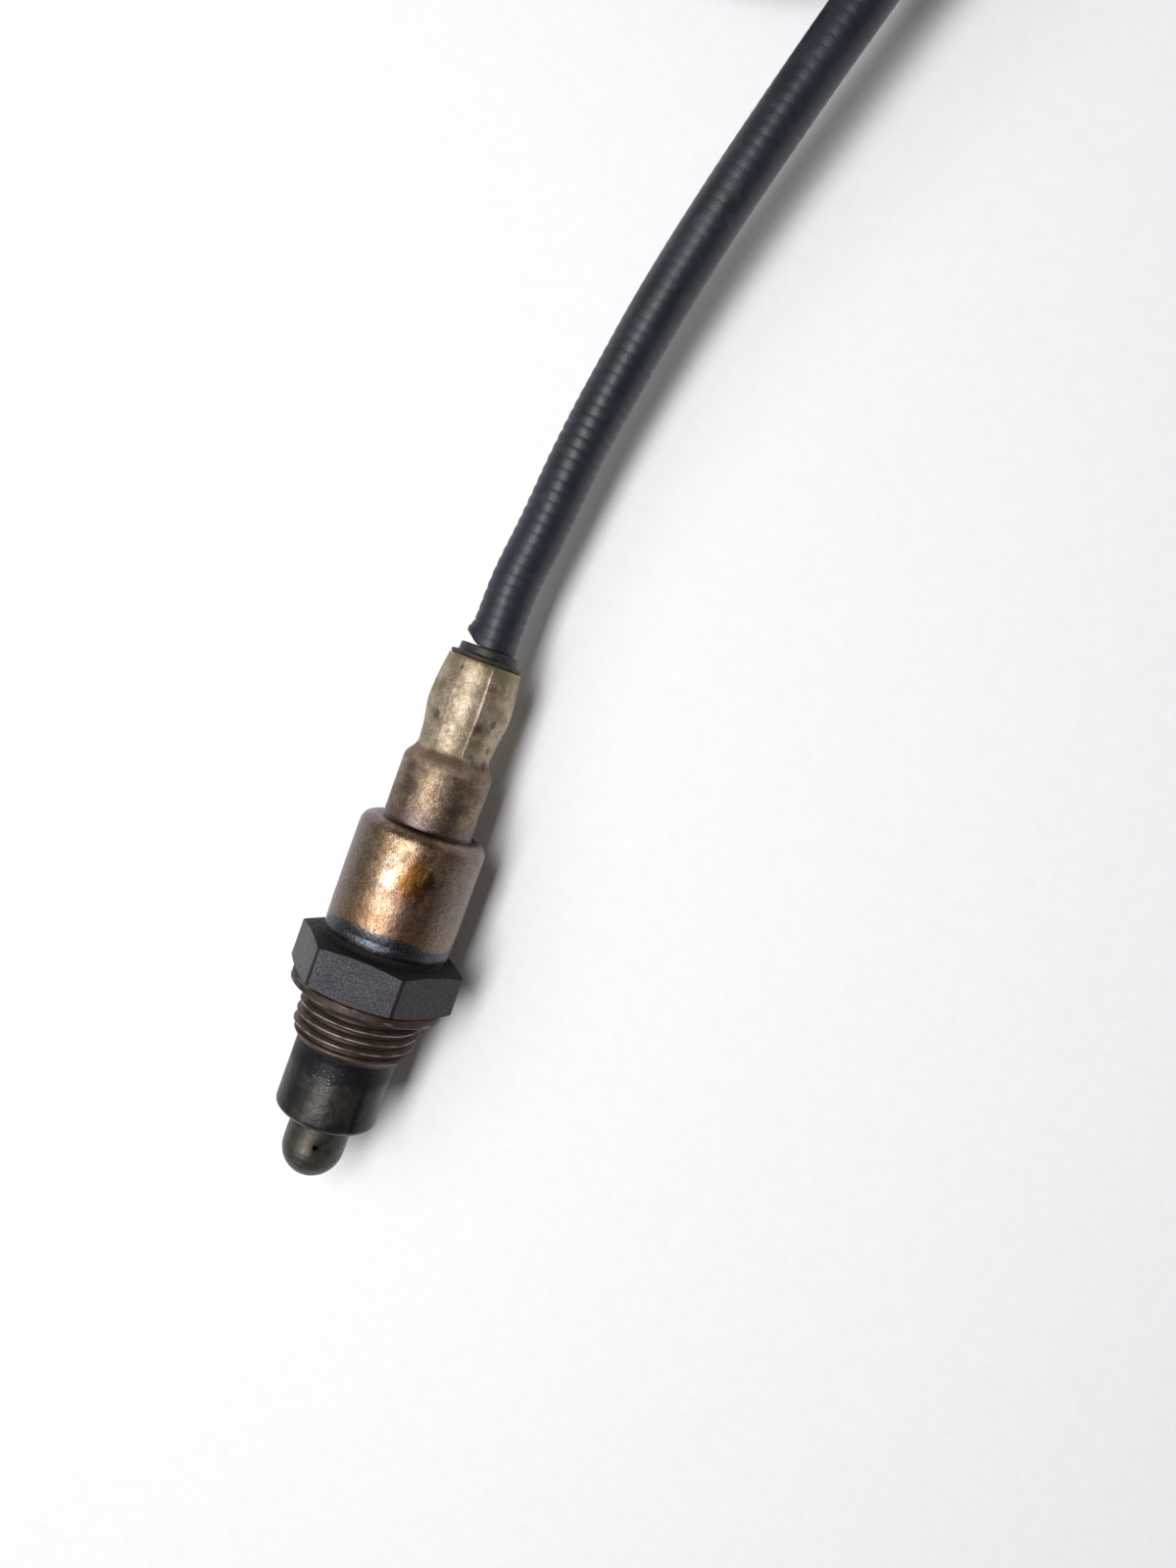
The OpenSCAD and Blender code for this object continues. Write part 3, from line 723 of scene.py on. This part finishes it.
def ring_places(points):
    """Where the sleeve's rings lie: their centres and how far along the lead they are."""
    line, far = smooth_line(points)
    places, k = [], 0
    for rib in range(int(far[-1] / RIB_PITCH)):
        for part in RIB_PARTS:
            at = (rib + part) * RIB_PITCH
            while far[k + 1] < at:
                k += 1
            share = (at - far[k]) / (far[k + 1] - far[k])
            places.append((line[k].lerp(line[k + 1], share), at))
    return places


def sleeve_radius(at, theta):
    """Radius of the sleeve at a distance along it: ribs that wear off, and lumps of the wires inside."""
    back = abs(math.sin(math.pi * at / RIB_PITCH))
    worn = 1 - 0.75 * smooth((at - 34) / 22)
    depth = RIB_DEPTH * worn * (1 + 0.5 * wobble(at / 7, 0.3, 0.7))
    seen = 1 - smooth((at - 115) / 20)
    lump = 0.07 * wobble(at / 14, 2 * math.cos(theta), 2 * math.sin(theta), 1.0)
    facet = 0.08 * math.cos(3 * (theta - 0.2)) * smooth((at - 8) / 12)
    swell = 0.13 * smooth((at - 15) / 35)
    return SLEEVE_R - 0.02 - depth * (1 - back) + seen * (lump + facet + swell)


def make_lead(material):
    """The ribbed sleeve as one tube with an open, slantwise cut end at the grommet."""
    places = ring_places(lead_points())
    line = [p for p, _ in places]
    rings = []
    for i, (p, at) in enumerate(places):
        ahead, back = line[min(i + 1, len(line) - 1)], line[max(i - 1, 0)]
        along = (ahead - back).normalized()
        side = along.cross(Vector((0, 0, 1))).normalized()
        up = side.cross(along)
        rows = []
        for k in range(SLEEVE_SIDES):
            theta = TURN * k / SLEEVE_SIDES
            r = sleeve_radius(at, theta)
            out = side * math.sin(theta) + up * math.cos(theta)
            left = smooth((-out.x - 0.35) / 0.65)
            flare = 0.55 * left * bell(at, 2.2)
            cut = 1.5 * left * smooth(1 - at / 4)
            rows.append(p + out * (r + flare) + along * cut)
        rings.append(rows)
    inner_r, depth = 0.8, 2.0
    start = line[0]
    mouth = [[start + (v - start) * inner_r for v in rings[0]],
             [start + (v - start) * inner_r * 0.98 + Vector((0, depth, 0)) for v in rings[0]]]
    all_rings = [mouth[1], mouth[0], *rings]
    points = [v * MM for r in all_rings for v in r]
    n = SLEEVE_SIDES
    faces = [(a * n + k, a * n + (k + 1) % n, (a + 1) * n + (k + 1) % n, (a + 1) * n + k)
             for a in range(len(all_rings) - 1) for k in range(n)]
    faces += [tuple(range(n)), tuple(range((len(all_rings) - 1) * n, len(all_rings) * n))]
    piece = solid("ribbed_sleeve", points, faces, sharp=60)
    dressed(piece, material, replaces=("lead_sleeve", "lead_coil", "lead_tail"))
    return piece, [p * MM for p in line]


# ---- the sensor's own pieces ----
def hexagon_radius(phi):
    """Radius of the hexagon with its corners cut to narrow strips. A flat faces up."""
    off = abs((math.degrees(phi) + 30) % 60 - 30)
    return min(HEX_AF / 2 / math.cos(math.radians(off)), STRIP_R / math.cos(math.radians(30 - off)))


def hexagon_angles():
    """Angles round the axis that hold the edges of the corner strips."""
    offsets = [*range(0, 28, 3), 30 - STRIP_HALF, 30, 30 + STRIP_HALF, *range(33, 58, 3)]
    return [math.radians(60 * k + off) for k in range(-3, 3) for off in offsets] + [math.pi]


def chamfer(end, inner_r, slope, direction):
    """The edge between a flat and the cone that chamfers the hexagon at one end."""
    return lambda phi: (end + direction * (hexagon_radius(phi) - inner_r) / slope, hexagon_radius(phi))


def thread_row(u, share):
    """A line along the helix. share is 0 in the root and 1 on the crest."""
    def row(phi):
        s = min(THREAD_START, max(THREAD_END, u + THREAD_PITCH * phi / TURN))
        crest = THREAD_R - 0.05 * max(0.0, wobble(9 * math.sin(phi) / 2, s, 9 * math.cos(phi) / 2))
        r = ROOT_R + share * (crest - ROOT_R)
        r = min(r, THREAD_END_R + 0.88 * (s - THREAD_END))
        begun = smooth((THREAD_START - s) / 0.6)
        return s, RELIEF_R + (r - RELIEF_R) * begun
    return row


def make_housing(materials):
    """Hexagon, helical thread, collar and bore in one skin."""
    first_crest, turns = -0.7, 8
    profile = [(0.0, 1.0), (0.1, 0.96), (0.33, 0.5), (0.5625, 0.0), (0.75, -0.02), (0.9375, 0.0),
               (1.17, 0.5), (1.4, 0.96)]
    helix = [thread_row(first_crest - turn * THREAD_PITCH - off, share)
             for turn in range(turns) for off, share in profile]
    rows = [ring(0.0, RELIEF_R), ring(THREAD_START, RELIEF_R), *helix,
            ring(THREAD_END, THREAD_END_R), ring(THREAD_END, TUBE_R - WALL), ring(-11.5, TUBE_R - WALL),
            ring(-11.5, 5.8), ring(-9.6, 5.8), ring(-9.6, 2.7), ring(-8, 2.7), ring(-8, 5.3), ring(10, 5.3),
            ring(10, 4.3), ring(11.2, 4.3), ring(11.2, 6.65), ring(11.05, 6.8), ring(9.6, 6.8),
            ring(9.6, 8.8), ring(6.75, 8.8), ring(HEX_LEN, 9.05), ring(HEX_LEN, 10.6),
            chamfer(HEX_LEN, 10.6, 3.8, -1), chamfer(0.0, 10.9, 3.0, 1), ring(0.0, 10.9)]
    piece = lofted("hexagon_housing", rows, hexagon_angles(), sharp=24)
    for face in piece.data.polygons:
        c = face.center / MM
        r, phi = math.hypot(c.x, c.z), math.atan2(c.x, c.z)
        off = abs((math.degrees(phi) + 30) % 60 - 30)
        if c.y < THREAD_START + 0.4:
            face.material_index = 2
        elif off > 30 - STRIP_HALF and r > 11.5 and abs(face.normal.y) < 0.2:
            face.material_index = 1
    return dressed(piece, materials, replaces=["hex_housing"])


def make_gasket(material):
    """A ring folded from sheet and crushed, so that its edge is two uneven lips."""
    inner, outer, low, high = 8.33, 11.4, -1.35, -0.05
    lip = 0.33
    outline = [(high, inner + 0.2), *arc(high - lip, outer - lip, lip, 90, 0, 5),
               (high - lip - 0.04, outer - 0.16), *arc(low + lip, outer - lip + 0.02, lip, 0, -90, 5),
               (low, inner + 0.2), (low + 0.3, inner), (high - 0.3, inner)]

    def uneven(s, r, phi):
        if r < outer - 1:
            return r
        return r - 0.1 - 0.1 * wobble(2.2 * math.sin(phi), 3 * s, 2.2 * math.cos(phi), 2.0)

    piece = turned("crushed_gasket", outline, uneven, count=180, sharp=50)
    return dressed(piece, material, "gasket", ["sealing_gasket"])


def make_outer_tube(material):
    """Outer protection tube with a slight waist on its right, and gas holes at its sides and below."""
    wide = TUBE_R - NOSE_R
    deep = wide / 2
    centre_s = TUBE_FRONT + deep

    def corner(t, start, end):
        turn = arc(0, 0, 1, start, end, 12)
        return [(centre_s + (deep - t) * s, NOSE_R + (wide - t) * r) for s, r in turn]

    outer = [(THREAD_END, TUBE_R), (-9.18, TUBE_R + 0.08), (-9.36, TUBE_R + 0.08), (-9.5, TUBE_R)]
    outer += [(s, TUBE_R) for s in (-10.5, -12, -13.5, -15, -16.5, -17.8)]
    outer += corner(0, 0, -90)
    inner = [*corner(WALL, -88.5, 0), (THREAD_END, TUBE_R - WALL)]

    def worn(s, r, phi):
        if r < TUBE_R - WALL / 2 and s > centre_s:
            return r
        waist = 0.22 * bell(s + 14.6, 3.4) * bell(apart(phi, 98), 40)
        dent = 0.09 * bell(s + 17.5, 5.0) * bell(apart(phi, 43), 4.5)
        return r - waist - dent + 0.02 * wobble(2 * math.sin(phi), s / 3, 2 * math.cos(phi), 3.0)

    piece = turned("outer_tube", outer + inner, worn, count=180, sharp=40)
    holes = []
    for phi in (120, 180, 240):
        a = math.radians(phi)
        holes.append(bore("gas_hole", place(-12.8, 5, a) / MM, place(-12.8, 10, a) / MM, 0.9))
    piece = combined(piece, holes, sharp=40)
    return dressed(piece, material, replaces=["outer_protection_tube"])


def shell_outline(t):
    """The shell from barrel to crimped end, moved inwards by t. Small details are outside only."""
    corner, mid_corner, fillet = 1.9, 2.0, 2.27
    centre_s = MID_REAR + (mid_corner + fillet) * math.sin(math.radians(45))
    centre_r = MID_R - mid_corner + (mid_corner + fillet) * math.cos(math.radians(45))
    if t == 0:
        front = [(CAN_FRONT, CAN_R - 0.2), (CAN_FRONT + 0.12, CAN_R - 0.1), (8.8, CAN_R - 0.09),
                 (8.95, CAN_R - 0.14), (9.1, CAN_R - 0.07), (10.4, CAN_R - 0.04), (11.4, CAN_R)]
        front += [(s, CAN_R) for s in (13, 15, 17, 19, 21, 22.4)]
    else:
        front = [(CAN_FRONT, CAN_R - t)]
    body = arc(SHOULDER - corner, CAN_R - corner, corner - t, 0, 90, 9)
    if t == 0:
        body += [(SHOULDER + 0.02, 7.3), (SHOULDER, 6.95), (SHOULDER + 0.06, MID_R + 0.12),
                 (SHOULDER + 0.3, MID_R), (27, MID_R), (29, MID_R), (31, MID_R), (33, MID_R)]
    else:
        body += [(SHOULDER - t, MID_R - t)]
    body += arc(MID_REAR, MID_R - mid_corner, mid_corner - t, 0, 45, 5)
    body += arc(centre_s, centre_r, fillet + t, 225, 173, 6)
    rise = [(39.2, 5.5), (40.6, 5.72), (42.0, 5.95)]
    body += [(s, r - t) for s, r in rise]
    body += arc(BULGE_AT, BULGE_R - 9, 9 - t, -7, 7, 4)
    body += [(s, r - t) for s, r in ((46.5, 5.86), (48.0, 5.66), (49.4, 5.47))]
    if t == 0:
        return front + body + [(SHELL_REAR - 0.1, SHELL_REAR_R), (SHELL_REAR, SHELL_REAR_R - 0.1)]
    return front + body + [(SHELL_REAR, SHELL_REAR_R - t)]


def make_shell(material):
    """The stepped shell. Eight crimp jaws leave flats with thin ridges between them."""
    first_ridge, jaw = 26.5, 360 / 8

    def worn(s, r, phi):
        off = (apart(phi, first_ridge) + jaw / 2) % jaw - jaw / 2
        main = abs(apart(phi, first_ridge)) < 20
        pressed = smooth((s - 36.4) / 1.6) * (1 - smooth((s - 49.3) / 0.8))
        ridge = (0.1 if main else 0.022) * bell(off, 2.2)
        r += pressed * (ridge - 0.02)
        x, z = 2.1 * math.sin(phi), 2.1 * math.cos(phi)
        r += 0.035 * wobble(x, s / 3.4, z, 4.0) * smooth((s - 10) / 3)
        dent = 0.07 * bell(s - 20.5, 2.2) * bell(apart(phi, 20), 9)
        return r - dent * smooth((s - 12) / 2)

    rows = worn_rows(shell_outline(0), worn)
    rows += [ring(s, r) for s, r in reversed(shell_outline(WALL))]
    piece = lofted("stepped_shell", rows, even_angles(360), sharp=50)
    return dressed(piece, material, replaces=["main_shell"])


def make_grommet(material):
    """Stepped rubber plug with a rounded lip and a bore for each wire."""
    lip, disc = 5.25, 4.25
    outline = [(38.6, 0.15), (38.6, NECK_R - WALL - 0.1), (41, 5.1), (43.6, 5.4), (46.5, 5.2), (50.0, 4.72),
               (50.2, 4.9), (50.28, 5.1), *arc(50.62, lip - 0.25, 0.25, -20, 90, 5), (50.95, disc + 0.2),
               (51.1, disc + 0.02), *arc(GROMMET_END - 0.3, disc - 0.3, 0.3, 0, 90, 5), (GROMMET_END, 0.15)]

    def uneven(s, r, phi):
        if s < 50.2:
            return r
        return r + 0.06 * wobble(1.8 * math.sin(phi), s / 2, 1.8 * math.cos(phi), 6.0)

    piece = turned("wire_grommet", outline, uneven, count=120, sharp=45)
    bores = [bore("wire_bore", (x * WIRE_PITCH, 37, z * WIRE_PITCH), (x * WIRE_PITCH, 54, z * WIRE_PITCH),
                  WIRE_R + 0.02) for x in (-1, 1) for z in (-1, 1)]
    piece = combined(piece, bores, sharp=45)
    return dressed(piece, material, replaces=["grommet"])


# ---- ties and connector ----
def make_ties(material):
    """Two cable ties round the coil, each a strap with its lock head on the inner side."""
    half_w, thick, gap, bend_steps = 2.4, 0.55, 0.03, 16
    head_half = Vector((1.7, 3.0, 2.4))
    parts = []
    for polar in (130, 250):
        a = math.radians(polar)
        out, along = Vector((math.cos(a), math.sin(a), 0)), Vector((-math.sin(a), math.cos(a), 0))
        hub = Vector((COIL_AT[0], COIL_AT[1], 0)) + out * COIL_R
        loop = [(0, -90, 90), (-LAYER, 90, 270)]
        section = []
        for z, start, end in loop:
            for i in range(bend_steps + 1):
                t = math.radians(start + (end - start) * i / bend_steps)
                section.append((math.sin(t), math.cos(t), z))
        points, faces = [], []
        count = len(section)
        for width, radius in ((-1, SLEEVE_R + gap), (-1, SLEEVE_R + gap + thick),
                              (1, SLEEVE_R + gap + thick), (1, SLEEVE_R + gap)):
            for u, v, z in section:
                points.append((hub + out * (u * radius) + Vector((0, 0, z + v * radius))
                               + along * (width * half_w)) * MM)
        for k in range(4):
            for i in range(count):
                j, m = (i + 1) % count, (k + 1) % 4
                faces.append((k * count + i, k * count + j, m * count + j, m * count + i))
        parts.append(solid("strap", points, faces, 40))
        head = block("head", -head_half, head_half, 0.5)
        at = hub - out * (SLEEVE_R + 1.6) + Vector((0, 0, -LAYER / 2))
        for v in head.data.vertices:
            p = v.co / MM
            v.co = (at + out * p.x + along * p.y + Vector((0, 0, p.z))) * MM
        parts.append(head)
    piece = joined("cable_ties", parts, 40)
    return dressed(piece, material, replaces=["coil_ties"])


def make_connector(plastic, latch_plastic, lock_plastic):
    """The connector's moulded pieces, with rounded edges, grip ribs and guide rails."""
    low, high = (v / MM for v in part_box("connector_housing"))
    x, z = (low.x + high.x) / 2, FLOOR_Z + 7.5
    added = []
    for side in (-1, 1):
        for k in range(5):
            y = 250.5 + 2.1 * k
            ends = sorted((x + side * 8.6, x + side * 9.5))
            added.append(block("grip", (ends[0], y, z - 4), (ends[1], y + 1.0, z + 4), 0.25))
        ends = sorted((x + side * 6.2, x + side * 7.4))
        added.append(block("rail", (ends[0], 246, z + 7.0), (ends[1], 262.4, z + 8.4), 0.3))
    housing = softened("connector_housing", "connector_body", 0.22, added)
    dressed(housing, plastic, replaces=["connector_housing"])
    cover = softened("connector_rear_cover", "connector_boot", 0.3)
    dressed(cover, plastic, replaces=["connector_rear_cover"])
    latch = softened("connector_latch", "latch_arm", 0.22)
    dressed(latch, latch_plastic, "latch", ["connector_latch"])
    lock = softened("terminal_lock", "lock_slider", 0.15)
    dressed(lock, lock_plastic, "lock", ["terminal_lock"])
    return [housing, cover, latch, lock]


def paint_cad_nodes():
    """Materials for the pieces that keep their CAD shape."""
    ceramic = fired("ceramic", (0.62, 0.58, 0.5), (0.78, 0.75, 0.67))
    contact = drawn("contact_metal", (0.42, 0.38, 0.26), (0.66, 0.61, 0.46))
    spring = drawn("spring_steel", (0.42, 0.43, 0.45), (0.62, 0.63, 0.66))
    white = moulded("wire_white", (0.62, 0.6, 0.55), (0.78, 0.77, 0.72), rough=0.35)
    grey = moulded("wire_grey", (0.16, 0.165, 0.17), (0.25, 0.255, 0.26), rough=0.35)
    black = moulded("wire_black", (0.012, 0.012, 0.012), (0.03, 0.03, 0.03), rough=0.35)
    silicone = moulded("seal_rubber", (0.4, 0.12, 0.03), (0.55, 0.2, 0.05), rough=0.5)
    finishes = {
        "inner_protection_tube": nose_steel(),
        "sensing_element": fired("zirconia", (0.7, 0.67, 0.58), (0.84, 0.82, 0.75)),
        "talc_packing": fired("talc", (0.45, 0.44, 0.41), (0.6, 0.59, 0.56)),
        "front_insulator": ceramic, "rear_insulator": ceramic,
        "contact_holder_upper": ceramic, "contact_holder_lower": ceramic,
        "press_ring": spring, "contact_clip": spring,
        "interface_seal": silicone,
    }
    by_start = {"contact_spring_": contact, "crimp_sleeve_": contact, "wire_seal_": silicone,
                "terminal_": drawn("terminal_tin", (0.5, 0.5, 0.48), (0.72, 0.72, 0.7))}
    wires = [white, white, grey, black]
    for k, wire in enumerate(wires, 1):
        finishes[f"lead_wire_{k}"] = finishes[f"connector_wire_{k}"] = wire
        for start, finish in by_start.items():
            finishes[f"{start}{k}"] = finish
    for name, finish in finishes.items():
        for slot in NODES[name].material_slots:
            slot.material = finish


# ---- the studio ----
FLOOR_HALF = 1200  # half of the floor's side
LIGHT_FOCUS = (10, 40, 0)  # where the lights point


def softbox(name, toward, far, wide, long, power, colour):
    """An area light that faces the sensor from a direction, with its long side along Y."""
    light = bpy.data.lights.new(name, "AREA")
    light.shape = "RECTANGLE"
    light.size, light.size_y = wide, long
    light.energy = power
    light.color = colour
    box = bpy.data.objects.new(name, light)
    direction = Vector(toward).normalized()
    box.location = Vector(LIGHT_FOCUS) * MM + direction * far
    across = Vector((0, 1, 0)).cross(direction).normalized()
    box.rotation_euler = Matrix((across, direction.cross(across), direction)).transposed().to_euler()
    bpy.context.scene.collection.objects.link(box)


def make_studio():
    """Pale paper floor, a long narrow light overhead, a weak wide one from the left, and a dim sky."""
    paper = Finish("paper", specular=0.2)
    fibre = paper.noise(2.2, detail=5, rough=0.65)
    paper.colour(paper.mix(fibre, (0.8, 0.8, 0.815), (0.87, 0.87, 0.885)))
    paper.rough(0.85)
    spread = ((-1, -1), (1, -1), (1, 1), (-1, 1))
    corners = [(x * FLOOR_HALF * MM, y * FLOOR_HALF * MM, (FLOOR_Z - 0.01) * MM) for x, y in spread]
    mesh = bpy.data.meshes.new("floor")
    mesh.from_pydata(corners, [], [(0, 1, 2, 3)])
    mesh.materials.append(paper.material)
    floor = bpy.data.objects.new("floor", mesh)
    bpy.context.scene.collection.objects.link(floor)

    softbox("key", (-0.2, -0.06, 0.98), 0.55, 0.14, 0.55, 3.5, (0.985, 0.985, 1.0))
    softbox("side", (-0.6, -0.02, 0.8), 0.65, 0.4, 0.7, 1.0, (0.99, 0.985, 1.0))

    world = bpy.data.worlds.new("studio")
    world.use_nodes = True
    tree = world.node_tree
    background = tree.nodes["Background"]
    where = tree.nodes.new("ShaderNodeTexCoord")
    split = tree.nodes.new("ShaderNodeSeparateXYZ")
    fade = tree.nodes.new("ShaderNodeMapRange")
    fade.interpolation_type = "SMOOTHSTEP"
    for key, value in (("From Min", 0.0), ("From Max", 0.55), ("To Min", 0.37), ("To Max", 0.09)):
        fade.inputs[key].default_value = value
    tree.links.new(where.outputs["Generated"], split.inputs[0])
    tree.links.new(split.outputs["Z"], fade.inputs["Value"])
    tree.links.new(fade.outputs[0], background.inputs["Strength"])
    background.inputs["Color"].default_value = (1.0, 0.94, 0.88, 1)
    bpy.context.scene.world = world
    bpy.context.scene.view_settings.view_transform = "Standard"


# ---- everything together ----
make_camera()
sleeve, sleeve_line = make_lead(sleeve_rubber())
make_housing([hex_steel(), hex_edge(), thread_steel()])
make_gasket(gasket_steel())
make_outer_tube(tube_steel())
make_shell(shell_steel())
make_grommet(grommet_rubber())
ties = make_ties(tie_nylon())
shell_parts = make_connector(
    moulded("connector_plastic", (0.018, 0.019, 0.021), (0.035, 0.037, 0.04), rough=0.42),
    moulded("latch_plastic", (0.03, 0.031, 0.034), (0.05, 0.052, 0.056), rough=0.38),
    moulded("lock_plastic", (0.33, 0.03, 0.025), (0.5, 0.06, 0.045), rough=0.4))
paint_cad_nodes()
on_lead = [ties, *shell_parts, "interface_seal"]
on_lead += [f"{kind}_{k}" for kind in ("wire_seal", "terminal", "connector_wire") for k in (1, 2, 3, 4)]
make_studio()
